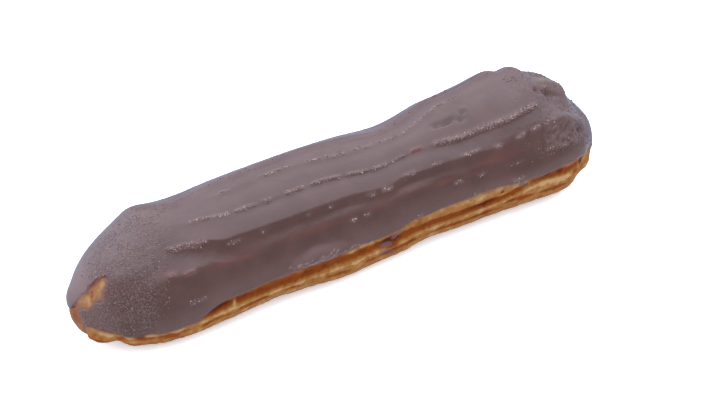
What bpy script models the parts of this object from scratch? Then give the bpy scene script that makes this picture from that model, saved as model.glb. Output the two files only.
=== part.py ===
"""Chocolate eclair: a long piped choux bun that rests on its flat base, under a coat of icing.

X runs along the eclair, -Y is its near side and Z is up. The origin is the middle of its
footprint, on the base. Sizes below are in millimetres and angles in degrees.
"""

import math

import bmesh
import bpy

MM = 0.001

# Outer form, measured over the icing
LENGTH = 146.0
HALF_WIDTH = 16.2
HEIGHT = 27.3
WAIST_Z = 8.5
BASE_SINK = 1.0
MIDDLE_BEND = 0.5
SECTION_POWER_ABOVE = 2.15
SECTION_POWER_BELOW = 2.8

# The two swollen ends, as place, spread, extra half width and extra height
LEFT_SWELL = (-46.0, 22.0, 0.5, 1.1)
RIGHT_SWELL = (47.0, 20.0, 1.0, 3.8)

# Rounding of each end: how long it is, how high its tip, and its powers in plan and profile
LEFT_END = (27.0, 8.2, 2.15, 1.95)
RIGHT_END = (23.0, 6.3, 2.15, 2.0)
UNDERSIDE_POWERS = (2.2, 2.6)

# The right end turns towards the near side: how far, and over which stretch of X
RIGHT_TURN = (-2.2, 48.0, 75.0)

# Piped ridges: number 0 lies just above the near edge of the icing, number 4 on the top
FIRST_RIDGE_ANGLE = 13.0
RIDGE_PITCH = 20.0
RIDGE_HEIGHTS = (0.4, 0.9, 1.3, 0.7, 0.5, 0.4, 0.7, 0.9, 0.4)
RIDGE_SPREAD_AT_RIGHT = (0.0, -6.0, -9.0, -12.0, 7.0, 8.0, 6.0, 3.0, 0.0)
RIDGE_LEAN = 1.3
RIDGES_START = (-57.0, -45.0)
RIDGES_STOP = (51.0, 60.0)

# Rough bead of icing along ridge 3
BEAD_RIDGE = 3.0
BEAD_RANGE = (21.0, 51.0)
BEAD_HEIGHT = 0.9

# Lumps and dips: place along X, angle round the section, height, spread along X and in angle
LUMPS = (
    (-73.0, 45.0, 0.8, 2.5, 80.0),
    (-51.8, 112.0, 1.5, 4.5, 30.0),
    (-42.5, 112.0, -1.2, 9.0, 32.0),
    (-63.0, 60.0, 0.5, 6.0, 35.0),
    (-50.0, 40.0, 1.1, 5.5, 9.0),
    (-12.0, 112.0, 1.1, 17.0, 28.0),
    (16.0, 116.0, -1.0, 8.0, 32.0),
    (28.0, 116.0, 0.6, 5.0, 30.0),
    (29.5, 80.0, -0.6, 3.5, 3.5),
    (46.5, 122.0, 0.8, 4.0, 24.0),
    (50.8, 118.0, -0.7, 2.0, 16.0),
    (52.6, 110.0, 1.1, 2.7, 18.0),
    (60.4, 98.0, 0.6, 2.6, 16.0),
    (62.4, 88.0, 0.6, 2.0, 14.0),
    (65.5, 92.0, -1.1, 2.8, 34.0),
    (57.6, 76.0, -1.0, 1.8, 5.0),
    (57.0, 48.0, 1.3, 6.0, 6.5),
    (70.5, 50.0, 0.4, 3.0, 35.0),
    (-14.5, 10.0, 0.6, 8.0, 9.0),
)

# Lower edge of the icing: height above the floor, along X
NEAR_EDGE = (
    (-73.0, 9.8), (-70.4, 9.5), (-67.5, 8.7), (-64.0, 7.4), (-60.0, 7.9), (-56.0, 7.2),
    (-49.0, 8.0), (-41.0, 11.2), (-31.0, 11.2), (-21.0, 11.7), (-9.0, 11.3), (4.0, 11.2),
    (12.5, 12.9), (34.0, 13.9), (45.0, 12.9), (52.0, 12.6), (57.0, 12.9), (62.0, 12.3),
    (67.0, 10.4), (73.0, 7.8),
)
FAR_EDGE = (
    (-73.0, 9.8), (-60.0, 8.0), (-44.0, 10.5), (-26.0, 12.0), (-8.0, 10.8), (14.0, 12.6),
    (32.0, 11.2), (50.0, 12.8), (62.0, 11.4), (73.0, 7.8),
)
ICING_THICKNESS = 1.7
ICING_LIP = 0.9
LIP_WIDTH = 14.0
LUMPS_INSIDE = 0.5
TIP_ANGLE = 45.0
GAP = 0.5
END_GAP = 0.3

# Bare inlet in the icing at the left tip: Y and Z of its outline, seen from the tip
INLET = (
    (0.4, 3.0), (0.2, 9.5), (-0.5, 11.3), (-1.8, 13.7), (-2.3, 15.3), (-2.8, 18.3), (-4.0, 20.7),
    (-5.0, 20.8), (-6.1, 19.2), (-7.7, 16.8), (-5.9, 15.8), (-6.0, 14.6), (-3.7, 12.9),
    (-4.4, 11.0), (-5.2, 9.0), (-5.2, 3.0),
)
INLET_FROM = -76.0
INLET_TO = -62.0

# Side of the bun below the icing, as shares of the way from the icing's edge to the floor
BAND = (0.0, 0.08, 0.15, 0.22, 0.30, 0.40, 0.50, 0.60, 0.72, 0.86, 1.0)
BAND_GROOVES = ((0.15, 0.07, 1.1), (0.42, 0.07, 0.5), (0.62, 0.06, 0.35))
BAND_TUCK = 0.12

# Lobes of the bun's near side: place and spread along X and down the bare side, and height
LOBES = (
    (-70.4, 3.2, 0.6, 0.4, 1.4),
    (-68.6, 1.6, 0.65, 0.5, -0.7),
    (-54.0, 9.0, 0.75, 0.4, 0.6),
    (-23.0, 8.0, 0.75, 0.45, -0.35),
    (-6.0, 9.0, 0.75, 0.4, 0.8),
    (9.0, 7.0, 0.75, 0.4, 0.5),
    (17.0, 6.0, 0.75, 0.45, -0.45),
    (34.0, 13.0, 0.75, 0.45, -0.6),
    (63.0, 5.0, 0.6, 0.45, -1.3),
)

# Mesh: rows along the eclair, and columns round it, given as ridge numbers on the icing's face
ROWS = 62
WALL_COLUMNS = 13
EDGE_COLUMNS = 5
COLUMNS_PER_RIDGE = 4
ICING_RIDGES = (
    [column / EDGE_COLUMNS for column in range(EDGE_COLUMNS)]
    + [1.0 + column / COLUMNS_PER_RIDGE for column in range(6 * COLUMNS_PER_RIDGE)]
    + [7.0 + column / EDGE_COLUMNS for column in range(EDGE_COLUMNS + 1)]
)


def bell(value, centre, spread):
    return math.exp(-((value - centre) / spread) ** 2)


def ramp(value, start, end):
    """Rise smoothly from 0 at start to 1 at end."""
    share = min(max((value - start) / (end - start), 0.0), 1.0)
    return share * share * (3.0 - 2.0 * share)


def mix(low, high, share):
    return low + (high - low) * share


def along(x, points):
    """Height of a smooth line through the (x, height) points."""
    for (x0, z0), (x1, z1) in zip(points, points[1:]):
        if x <= x1:
            return mix(z0, z1, ramp(x, x0, x1))
    return points[-1][1]


def between_ridges(ridge, values):
    """Value at a ridge number that may lie between two ridges."""
    place = min(max(ridge, 0.0), len(values) - 1.001)
    index = int(place)
    return mix(values[index], values[index + 1], place - index)


def end_shares(x):
    """How far x lies into the left and the right rounded end, from 0 to 1."""
    left = (-LENGTH / 2 + LEFT_END[0] - x) / LEFT_END[0]
    right = (x - LENGTH / 2 + RIGHT_END[0]) / RIGHT_END[0]
    return min(max(left, 0.0), 1.0), min(max(right, 0.0), 1.0)


def rounded(left, right, left_power, right_power):
    """Share of the full width or height that is left inside the rounded ends."""
    left_part = max(1.0 - left ** left_power, 0.0) ** (1.0 / left_power)
    right_part = max(1.0 - right ** right_power, 0.0) ** (1.0 / right_power)
    return left_part * right_part


def section(x):
    """Half width, widest level, rise above it and drop below it of the section at x."""
    left, right = end_shares(x)
    level = mix(WAIST_Z, LEFT_END[1], left ** 2)
    level = mix(level, RIGHT_END[1], right ** 2)
    half_width = HALF_WIDTH
    height = HEIGHT
    for place, spread, wider, higher in (LEFT_SWELL, RIGHT_SWELL):
        half_width += wider * bell(x, place, spread)
        height += higher * bell(x, place, spread)
    half_width *= rounded(left, right, LEFT_END[2], RIGHT_END[2])
    rise = (height - level) * rounded(left, right, LEFT_END[3], RIGHT_END[3])
    drop = (level + BASE_SINK) * rounded(left, right, *UNDERSIDE_POWERS)
    return half_width, level, rise, drop


def surface(x, angle, depth=0.0):
    """Point at an angle round the section, at a depth under the smooth outer form."""
    half_width, level, rise, drop = section(x)
    across = math.cos(math.radians(angle))
    up = math.sin(math.radians(angle))
    power = SECTION_POWER_ABOVE if up > 0 else SECTION_POWER_BELOW
    reach = math.copysign(abs(across) ** (2.0 / power), across)
    climb = math.copysign(abs(up) ** (2.0 / power), up)
    share = rounded(*end_shares(x), LEFT_END[2], RIGHT_END[2])
    inward = depth * share
    y = -max(half_width - inward, 0.0) * reach + MIDDLE_BEND * (1.0 - (2.0 * x / LENGTH) ** 2)
    y += RIGHT_TURN[0] * ramp(x, *RIGHT_TURN[1:])
    z = level + (max(rise - inward, 0.0) if up > 0 else max(drop - inward, 0.0)) * climb
    return x * (1.0 - 2.0 * depth / LENGTH), y, max(z, 0.0)


def angle_at(x, z):
    """Angle on the near side at which the outer form at x reaches the height z."""
    half_width, level, rise, drop = section(x)
    if z >= level:
        share = min((z - level) / max(rise, 0.001), 1.0)
        return math.degrees(math.asin(share ** (SECTION_POWER_ABOVE / 2.0)))
    share = min((level - z) / max(drop, 0.001), 1.0)
    return -math.degrees(math.asin(share ** (SECTION_POWER_BELOW / 2.0)))


def ridge_angle(x, ridge):
    """Angle round the section of a ridge number at x."""
    wander = 9.0 * ramp(x, -40.0, -53.0) * bell(ridge, 1.5, 1.2)
    wander += between_ridges(ridge, RIDGE_SPREAD_AT_RIGHT) * ramp(x, 6.0, 42.0)
    wander -= 5.0 * bell(x, 8.0, 5.0) * bell(ridge, 1.6, 1.0)
    wander += 6.0 * ramp(x, 46.0, 55.0) * bell(ridge, 2.0, 1.0)
    return FIRST_RIDGE_ANGLE + RIDGE_PITCH * ridge + wander


def lumps(x, angle):
    return sum(height * bell(x, place, spread_x) * bell(angle, centre, spread_angle)
               for place, centre, height, spread_x, spread_angle in LUMPS)


def ridges(x, ridge):
    """Cusped ridges with rounded flutes between, steeper on their lower side, and the bead."""
    share = (ridge - math.floor(ridge)) ** RIDGE_LEAN
    profile = 0.45 - math.sin(math.pi * share)
    height = between_ridges(ridge, RIDGE_HEIGHTS)
    present = ramp(x, *RIDGES_START) * (1.0 - ramp(x, *RIDGES_STOP))
    bead = ramp(x, BEAD_RANGE[0] - 1.0, BEAD_RANGE[0] + 1.0)
    bead *= 1.0 - ramp(x, BEAD_RANGE[1] - 1.0, BEAD_RANGE[1] + 2.0)
    return height * profile * present + BEAD_HEIGHT * bead * bell(ridge, BEAD_RIDGE, 0.12)


def tip_of_icing(sign):
    """X at which the two edges of the icing meet, at one end."""
    points = NEAR_EDGE[0] if sign < 0 else NEAR_EDGE[-1]
    length, tip_z, plan_power, profile_power = LEFT_END if sign < 0 else RIGHT_END
    share = (points[1] - tip_z) / (HEIGHT - tip_z)
    into = (1.0 - share ** profile_power) ** (1.0 / profile_power)
    return sign * (LENGTH / 2 - length * (1.0 - into))


def row_place(share, start, end):
    """Rows close up towards both ends, as on a sphere."""
    return mix(start, end, (1.0 - math.cos(math.pi * share)) / 2.0)


def edge_angles(x):
    """Angles of the two edges of the icing, which meet on top at its own tips."""
    near = angle_at(x, along(x, NEAR_EDGE))
    far = 180.0 - angle_at(x, along(x, FAR_EDGE))
    met = max(ramp(x, tip_of_icing(-1) + 0.01, tip_of_icing(-1)),
              ramp(x, tip_of_icing(1) - 0.01, tip_of_icing(1)))
    return mix(near, 90.0, met), mix(far, 90.0, met)


def icing_angle(x, ridge, share):
    """Angle of an icing column: along the ridges in the middle, fanned out at the ends."""
    near, far = edge_angles(x)
    low = ridge_angle(x, 1.0)
    high = ridge_angle(x, 7.0)
    if ridge < 1.0:
        piped = mix(near, low, ridge)
    elif ridge > 7.0:
        piped = mix(high, far, ridge - 7.0)
    else:
        piped = ridge_angle(x, ridge)
    fanned = mix(near, far, share)
    middle = ramp(x, -70.0, -58.0) * (1.0 - ramp(x, 60.0, 70.0))
    return mix(fanned, piped, middle)


def thickness(x, angle):
    """The icing is thin at its lower edge and full above it."""
    near, far = edge_angles(x)
    from_edge = min(angle - near, far - angle)
    return mix(ICING_LIP, ICING_THICKNESS, ramp(from_edge, 0.0, LIP_WIDTH))


def wall_angle(x, index):
    near, far = edge_angles(x)
    return mix(near, far, index / WALL_COLUMNS)


def icing_point(share, column):
    """Outer face first, from the near edge over the top to the far one, then the inner wall back."""
    x = row_place(share, tip_of_icing(-1), tip_of_icing(1))
    if column < len(ICING_RIDGES):
        ridge = ICING_RIDGES[column]
        spread = column / (len(ICING_RIDGES) - 1)
        angle = icing_angle(x, ridge, spread)
        near, far = edge_angles(x)
        lip = 0.35 * (1.0 - ramp(min(angle - near, far - angle), 0.0, 2.5))
        return surface(x, angle, lip - lumps(x, angle) - ridges(x, ridge))
    angle = wall_angle(x, WALL_COLUMNS - (column - len(ICING_RIDGES)))
    return surface(x, angle, thickness(x, angle) - LUMPS_INSIDE * lumps(x, angle))


def bun_depth(x, angle):
    """Tucked under the icing above its edge, with grooves and beads on the bare side below."""
    far_side = (1.0 - math.cos(math.radians(angle))) / 2.0
    edge = mix(along(x, NEAR_EDGE), along(x, FAR_EDGE), far_side)
    share = 1.0 - surface(x, angle)[2] / edge
    bare = BAND_TUCK + sum(deep * bell(share, place, spread) for place, spread, deep in BAND_GROOVES)
    near_side = 1.0 - far_side
    bare -= near_side * sum(height * bell(x, place, spread) * bell(share, low, reach)
                            for place, spread, low, reach, height in LOBES)
    covered = thickness(x, angle) + GAP + END_GAP * end_nearness(x)
    return mix(covered, bare, ramp(share, 0.04, 0.16)) - LUMPS_INSIDE * lumps(x, angle)


def bun_point(share, column):
    """Near side from the floor up, the wall under the icing, then the far side down."""
    x = row_place(share, -LENGTH / 2, LENGTH / 2)
    if share < 0.001 or share > 0.999:
        return surface(x, 0.0, BAND_TUCK - LUMPS_INSIDE * lumps(x, TIP_ANGLE))
    last_band = len(BAND) - 1
    if column <= last_band:
        angle = angle_at(x, along(x, NEAR_EDGE) * (1.0 - BAND[last_band - column]))
    elif column < last_band + WALL_COLUMNS:
        angle = wall_angle(x, column - last_band)
    else:
        angle = 180.0 - angle_at(x, along(x, FAR_EDGE) * (1.0 - BAND[column - last_band - WALL_COLUMNS]))
    return surface(x, angle, bun_depth(x, angle))


def end_nearness(x):
    """0 along the middle and 1 at either tip, where the rows of bun and icing part."""
    return max(ramp(x, -60.0, -70.0), ramp(x, 60.0, 70.0))


def closed_sheet(name, point, columns):
    """Wrap a grid round the long axis: point gives the place of each row's columns."""
    mesh = bmesh.new()
    bmesh.ops.create_grid(mesh, x_segments=ROWS, y_segments=columns, size=0.5)
    for vertex in mesh.verts:
        column = round((vertex.co.y + 0.5) * columns) % columns
        vertex.co = [size * MM for size in point(vertex.co.x + 0.5, column)]
    bmesh.ops.remove_doubles(mesh, verts=mesh.verts, dist=0.02 * MM)
    bmesh.ops.recalc_face_normals(mesh, faces=mesh.faces)
    data = bpy.data.meshes.new(name)
    mesh.to_mesh(data)
    mesh.free()
    data.shade_smooth()
    item = bpy.data.objects.new(name, data)
    bpy.context.collection.objects.link(item)
    return item


def finish(item, color, roughness):
    """Give an object its own plain finish."""
    material = bpy.data.materials.new(item.name)
    material.use_nodes = True
    shader = material.node_tree.nodes["Principled BSDF"]
    shader.inputs["Base Color"].default_value = (*color, 1.0)
    shader.inputs["Roughness"].default_value = roughness
    shader.inputs["Metallic"].default_value = 0.0
    item.data.materials.append(material)


def cut_inlet(icing):
    """Leave the bun bare in a narrow inlet up the left tip."""
    mesh = bmesh.new()
    outline = [mesh.verts.new((INLET_FROM * MM, y * MM, z * MM)) for y, z in INLET]
    face = mesh.faces.new(outline)
    wall = bmesh.ops.extrude_face_region(mesh, geom=[face])
    moved = [part for part in wall["geom"] if isinstance(part, bmesh.types.BMVert)]
    bmesh.ops.translate(mesh, verts=moved, vec=((INLET_TO - INLET_FROM) * MM, 0.0, 0.0))
    bmesh.ops.recalc_face_normals(mesh, faces=mesh.faces)
    data = bpy.data.meshes.new("inlet_cutter")
    mesh.to_mesh(data)
    mesh.free()
    cutter = bpy.data.objects.new("inlet_cutter", data)
    bpy.context.collection.objects.link(cutter)
    cutter.hide_render = True
    cutter.display_type = "WIRE"
    cut = icing.modifiers.new("inlet", "BOOLEAN")
    cut.operation = "DIFFERENCE"
    cut.object = cutter
    return cutter


def centre_footprint(items):
    """Bring the middle of the footprint to the origin."""
    corners = [vertex.co for item in items[:2] for vertex in item.data.vertices]
    middle_x = (min(co.x for co in corners) + max(co.x for co in corners)) / 2.0
    middle_y = (min(co.y for co in corners) + max(co.y for co in corners)) / 2.0
    for item in items:
        for vertex in item.data.vertices:
            vertex.co.x -= middle_x
            vertex.co.y -= middle_y


for old in list(bpy.data.objects):
    bpy.data.objects.remove(old, do_unlink=True)

icing = closed_sheet("icing", icing_point, len(ICING_RIDGES) + WALL_COLUMNS + 1)
pastry = closed_sheet("pastry", bun_point, 2 * len(BAND) + WALL_COLUMNS - 1)
cutter = cut_inlet(icing)
centre_footprint([icing, pastry, cutter])
finish(icing, (0.14, 0.085, 0.085), 0.4)
finish(pastry, (0.58, 0.30, 0.10), 0.7)
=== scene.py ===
"""Chocolate eclair: a ridged choux bun on its flat base, under a dull coat of chocolate icing."""

import math

import bmesh
import bpy
import numpy as np
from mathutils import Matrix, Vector, noise


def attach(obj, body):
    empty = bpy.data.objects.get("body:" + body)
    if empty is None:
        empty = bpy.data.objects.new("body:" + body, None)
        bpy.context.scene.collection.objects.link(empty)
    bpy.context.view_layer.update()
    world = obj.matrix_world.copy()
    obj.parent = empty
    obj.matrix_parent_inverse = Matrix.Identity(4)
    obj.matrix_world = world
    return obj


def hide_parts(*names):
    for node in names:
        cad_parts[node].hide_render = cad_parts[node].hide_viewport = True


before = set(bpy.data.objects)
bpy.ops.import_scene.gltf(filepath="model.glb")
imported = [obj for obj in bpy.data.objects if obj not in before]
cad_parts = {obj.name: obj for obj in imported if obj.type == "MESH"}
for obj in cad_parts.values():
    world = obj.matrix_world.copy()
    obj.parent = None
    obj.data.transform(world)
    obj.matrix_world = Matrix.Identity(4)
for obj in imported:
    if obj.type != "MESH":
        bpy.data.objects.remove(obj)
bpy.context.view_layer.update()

# The view and the light. A broad cool ceiling light, set back a little, gives the icing its
# pale sheen, and two low windows behind turn its far edges blue. A bright room fills the rest.
# The table is a white sheet that glows a little, which keeps the shadow short.
CAMERA_AZIMUTH = -29.4
CAMERA_ELEVATION = 42.0
CAMERA_DISTANCE = 0.42
CAMERA_LENS = 82.7
CAMERA_TARGET = Vector((0.005, -0.0003, 0.0098))
CEILING_AZIMUTH = 205.0
CEILING_ELEVATION = 77.0
CEILING_DISTANCE = 0.95
CEILING_SIZE = 3.1
CEILING_POWER = 76.0
CEILING_COLOR = (0.74, 0.85, 1.0)
WINDOW_AZIMUTHS = (240.0, 125.0)
WINDOW_POWERS = (12.0, 8.0)
WINDOW_ELEVATION = 20.0
WINDOW_DISTANCE = 1.2
WINDOW_SIZE = 1.6
WINDOW_COLOR = (0.62, 0.8, 1.0)
ROOM_COLOR = (0.98, 0.97, 0.97)
ROOM_STRENGTH = 0.67
TABLE_SIZE = 6.0
TABLE_COLOR = (0.93, 0.93, 0.93)
TABLE_GLOW = 0.38


def direction(azimuth, elevation):
    """Unit vector from the eclair towards a place at an azimuth and an elevation in degrees."""
    turn = math.radians(azimuth)
    rise = math.radians(elevation)
    return Vector((math.sin(turn) * math.cos(rise), -math.cos(turn) * math.cos(rise), math.sin(rise)))


def place_facing(item, towards, distance):
    """Link an object and put it at a distance from the target, looking back at it."""
    bpy.context.scene.collection.objects.link(item)
    item.location = CAMERA_TARGET + towards * distance
    item.rotation_euler = towards.to_track_quat("Z", "Y").to_euler()


camera = bpy.data.objects.new("camera", bpy.data.cameras.new("camera"))
camera.data.lens = CAMERA_LENS
camera.data.clip_start = 0.01
place_facing(camera, direction(CAMERA_AZIMUTH, CAMERA_ELEVATION), CAMERA_DISTANCE)
bpy.context.scene.camera = camera
bpy.context.scene.view_settings.view_transform = "Standard"


def square_light(name, size, power, color, azimuth, elevation, distance):
    """A square light that faces the target, at an azimuth counted from the camera's."""
    light = bpy.data.objects.new(name, bpy.data.lights.new(name, "AREA"))
    light.data.size = size
    light.data.energy = power
    light.data.color = color
    place_facing(light, direction(CAMERA_AZIMUTH + azimuth, elevation), distance)


square_light("ceiling", CEILING_SIZE, CEILING_POWER, CEILING_COLOR,
             CEILING_AZIMUTH, CEILING_ELEVATION, CEILING_DISTANCE)
for azimuth, power in zip(WINDOW_AZIMUTHS, WINDOW_POWERS):
    square_light("window", WINDOW_SIZE, power, WINDOW_COLOR,
                 azimuth, WINDOW_ELEVATION, WINDOW_DISTANCE)

room = bpy.data.worlds.new("room")
room.use_nodes = True
room.node_tree.nodes["Background"].inputs["Color"].default_value = (*ROOM_COLOR, 1.0)
room.node_tree.nodes["Background"].inputs["Strength"].default_value = ROOM_STRENGTH
bpy.context.scene.world = room


def smooth_object(mesh):
    """Put a mesh into the scene with smooth faces."""
    mesh.shade_smooth()
    item = bpy.data.objects.new(mesh.name, mesh)
    bpy.context.scene.collection.objects.link(item)
    return item


def mesh_object(name, shape):
    """Turn a finished bmesh into an object."""
    mesh = bpy.data.meshes.new(name)
    shape.to_mesh(mesh)
    shape.free()
    return smooth_object(mesh)


table_shape = bmesh.new()
bmesh.ops.create_grid(table_shape, x_segments=1, y_segments=1, size=TABLE_SIZE / 2.0)
table = mesh_object("table", table_shape)
table_material = bpy.data.materials.new("white_table")
table_material.use_nodes = True
table_skin = table_material.node_tree.nodes["Principled BSDF"].inputs
table_skin["Base Color"].default_value = (*TABLE_COLOR, 1.0)
table_skin["Roughness"].default_value = 0.6
table_skin["Emission Color"].default_value = (1.0, 1.0, 1.0, 1.0)
table_skin["Emission Strength"].default_value = TABLE_GLOW
table.data.materials.append(table_material)
table.visible_glossy = False

# The bun: choux paste piped through a star nozzle and baked until it is tan, with browner grooves
# that also hold painted shade and paler crests that are a painted highlight. Only its lower side
# shows, and a narrow inlet at the left tip that the icing missed.
# Its skin is one closed sheet wrapped round the long axis, in millimetres until it is done.
MM = 0.001
LENGTH = 146.0
HALF_WIDTH = 16.2
HEIGHT = 27.3
# The section is widest at the waist. It sinks a little under the floor, which cuts it flat.
WAIST_Z = 8.5
BASE_SINK = 1.0
POWER_ABOVE = 2.15
POWER_BELOW = 2.8
# Sideways bend of the middle, and turn of the right end between two places.
MIDDLE_BEND = 0.5
RIGHT_TURN = (-2.2, 48.0, 75.0)
# Swells: place, spread, added half width and added height.
LEFT_SWELL = (-46.0, 22.0, 0.5, 1.1)
RIGHT_SWELL = (47.0, 20.0, 1.0, 3.8)
# Rounded ends: length, level of the tip, and powers of the rounding in plan and in profile.
LEFT_END = (27.0, 8.2, 2.15, 1.89)
RIGHT_END = (23.0, 6.3, 2.15, 2.0)
UNDERSIDE_POWERS = (2.2, 2.6)
# The icing's lip along the near and the far side: place and height.
NEAR_EDGE = (
    (-73.0, 9.8), (-70.4, 9.5), (-67.5, 8.7), (-64.0, 7.4), (-60.0, 7.9), (-56.0, 7.2), (-49.0, 8.0),
    (-41.0, 11.2), (-31.0, 11.2), (-21.0, 11.7), (-9.0, 11.3), (4.0, 11.2), (12.5, 12.9), (34.0, 13.9),
    (45.0, 12.9), (52.0, 12.6), (57.0, 12.9), (62.0, 12.3), (67.0, 10.4), (73.0, 7.8),
)
FAR_EDGE = (
    (-73.0, 9.8), (-60.0, 8.0), (-44.0, 10.5), (-26.0, 12.0), (-8.0, 10.8), (14.0, 12.6),
    (32.0, 11.2), (50.0, 12.8), (62.0, 11.4), (73.0, 7.8),
)
# Lumps and hollows: place, angle, height, spread along and spread round. The angle is 0 on the
# near side and 90 on top.
LUMPS = (
    (-73.0, 45.0, 0.8, 2.5, 80.0), (-51.8, 112.0, 1.5, 4.5, 30.0), (-42.5, 112.0, -1.2, 9.0, 32.0),
    (-63.0, 60.0, 0.5, 6.0, 35.0), (-49.5, 37.0, 1.1, 6.5, 9.0), (-60.5, 58.0, 0.35, 3.5, 8.0),
    (-12.0, 112.0, 1.0, 17.0, 28.0), (16.0, 116.0, -1.15, 8.5, 32.0), (28.0, 116.0, 0.6, 5.0, 30.0),
    (46.5, 122.0, 0.8, 4.0, 24.0), (50.8, 118.0, -0.7, 2.0, 16.0), (52.6, 110.0, 1.1, 2.7, 18.0),
    (56.6, 108.0, -0.2, 1.8, 14.0), (60.4, 98.0, 0.75, 2.6, 16.0), (63.3, 86.0, 0.95, 1.8, 10.0),
    (66.9, 80.0, -1.15, 2.8, 32.0), (70.5, 55.0, 0.25, 3.0, 30.0), (69.5, 9.0, -1.0, 4.0, 22.0),
    (57.0, 48.0, 1.3, 6.0, 6.5), (58.0, 66.0, -0.5, 5.0, 7.0), (-14.5, 5.0, 0.5, 8.0, 9.0),
)
TIP_ANGLE = 45.0
TIP_CLOSES = (69.5, 72.8)
# Lobes of the bare side: place, spread, share of the way down from the lip, its spread, height.
LOBES = (
    (-70.2, 3.4, 0.48, 0.42, 1.15), (-66.4, 1.8, 0.65, 0.5, -1.0), (-54.0, 9.0, 0.75, 0.4, 0.35),
    (-62.5, 2.5, 0.75, 0.4, 0.5), (-27.0, 7.0, 0.75, 0.45, -0.35), (-6.5, 10.5, 0.75, 0.4, 1.1),
    (9.0, 7.0, 0.75, 0.4, 0.5), (17.0, 6.0, 0.75, 0.45, -0.5), (37.0, 11.0, 0.75, 0.45, -0.4),
    (56.0, 5.0, 0.75, 0.45, 0.25), (64.6, 3.2, 0.6, 0.45, -0.9), (67.0, 2.6, 0.15, 0.35, -0.9),
)
# Outline of the inlet seen from the left tip, as y and z, and its last place.
INLET = (
    (0.4, 3.0), (0.2, 9.5), (-0.5, 11.3), (-1.8, 13.7), (-2.3, 15.3), (-3.1, 16.9), (-2.8, 18.3),
    (-3.4, 19.4), (-4.0, 20.7), (-4.9, 20.8), (-5.9, 19.9), (-6.1, 19.2), (-6.8, 18.3), (-7.7, 16.8),
    (-7.1, 16.1), (-5.9, 15.8), (-6.0, 14.6), (-5.1, 13.5), (-3.7, 12.9), (-3.4, 12.0), (-4.4, 11.0),
    (-5.2, 9.0), (-5.2, 3.0),
)
INLET_END = -60.0

BUN_ROWS = 440
BUN_TOP_COLUMNS = 44
TRACE_STEPS = 4001
# Depth under the outer form: beneath the icing, at its lip and on the bare side.
BUN_UNDER_ICING = 1.9
BUN_AT_EDGE = 0.45
BUN_BARE = 0.15
# Share of the lumps that the walls under the icing follow.
LUMPS_INSIDE = 0.5
# The piped groove, the crest under it and the brown streak below: place and height.
GROOVE_LINE = ((-60.0, 7.0), (-47.0, 8.7), (-38.0, 9.3), (-28.0, 8.7), (-10.0, 8.7), (4.0, 8.6),
               (15.0, 8.9), (26.0, 9.0), (36.0, 9.1), (50.0, 11.2), (62.0, 10.5))
CREST_LINE = ((-46.0, 7.4), (-37.0, 7.5), (-28.0, 7.3), (-10.0, 7.0), (4.0, 7.1), (15.0, 7.7),
              (26.0, 7.9), (36.0, 7.9), (46.0, 9.3), (51.0, 10.2), (60.0, 8.2))
STREAK_LINE = ((-46.0, 5.8), (-34.0, 6.0), (-24.0, 6.0), (-14.0, 5.0), (-4.0, 4.8), (4.0, 5.8),
               (16.0, 6.0), (26.0, 6.0), (36.0, 6.0), (46.0, 6.8), (56.0, 6.0))
# Their spreads. The groove's upper side narrows to the right.
GROOVE_ABOVE = (2.0, 1.2)
GROOVE_NARROWS = (-4.0, 14.0)
GROOVE_UNDER = 0.9
CREST_SPREAD = 0.42
STREAK_SPREAD = 0.5
# Where the piping sets in, and where half of it is lost again.
PIPED_LEFT = (-60.0, -44.0)
PIPED_RIGHT = (56.0, 64.0)
GROOVE_DEPTH = 0.85
STREAK_DEPTH = 0.3
CREST_HEIGHT = 0.22
# Browning of the plain crust, and what each place adds or takes off. The groove's browning
# also paints its shade, and the crest's paling is a painted highlight.
PLAIN_BROWNING = 0.32
GROOVE_BROWNING_AND_SHADE = 0.62
CREST_HIGHLIGHT = 0.22
STREAK_BROWNING = 0.38
FOOT_BROWNING = 0.35
END_BROWNING = 0.2


def bell(value, centre, spread):
    """Bell curve of height 1."""
    return np.exp(-(((value - centre) / spread) ** 2))


def ramp(value, start, end):
    """Rise smoothly from 0 at start to 1 at end."""
    share = np.clip((value - start) / (end - start), 0.0, 1.0)
    return share * share * (3.0 - 2.0 * share)


def between(value, first, last, fade_in, fade_out):
    """1 from first to last, with soft ends."""
    start = ramp(value, first - fade_in, first + fade_in)
    return start * (1.0 - ramp(value, last - fade_out, last + fade_out))


def mix(low, high, share):
    return low + (high - low) * share


def along(x, points):
    """Smooth line through (x, height) points."""
    places, heights = zip(*points)
    index = np.clip(np.searchsorted(places, x) - 1, 0, len(places) - 2)
    start = np.take(places, index)
    end = np.take(places, index + 1)
    return mix(np.take(heights, index), np.take(heights, index + 1), ramp(x, start, end))


def grain(points, size, seed):
    """Smooth random relief from about -1 to 1, with lumps of a size in millimetres."""
    return np.array([noise.noise(point) for point in points / size + seed * 17.3])


def along_only(x, seed):
    """Points for a grain that varies along the length alone."""
    return np.stack([x, np.full_like(x, seed * 31.0), np.zeros_like(x)], axis=-1)


def end_shares(x):
    """How far into the left and the right rounded end x lies, 1 at the tip."""
    left = np.clip((-LENGTH / 2 + LEFT_END[0] - x) / LEFT_END[0], 0.0, 1.0)
    right = np.clip((x - LENGTH / 2 + RIGHT_END[0]) / RIGHT_END[0], 0.0, 1.0)
    return left, right


def rounded(left, right, left_power, right_power):
    """Share of the full width or height that is left inside the rounded ends."""
    left_part = (1.0 - left ** left_power) ** (1.0 / left_power)
    return left_part * (1.0 - right ** right_power) ** (1.0 / right_power)


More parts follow.
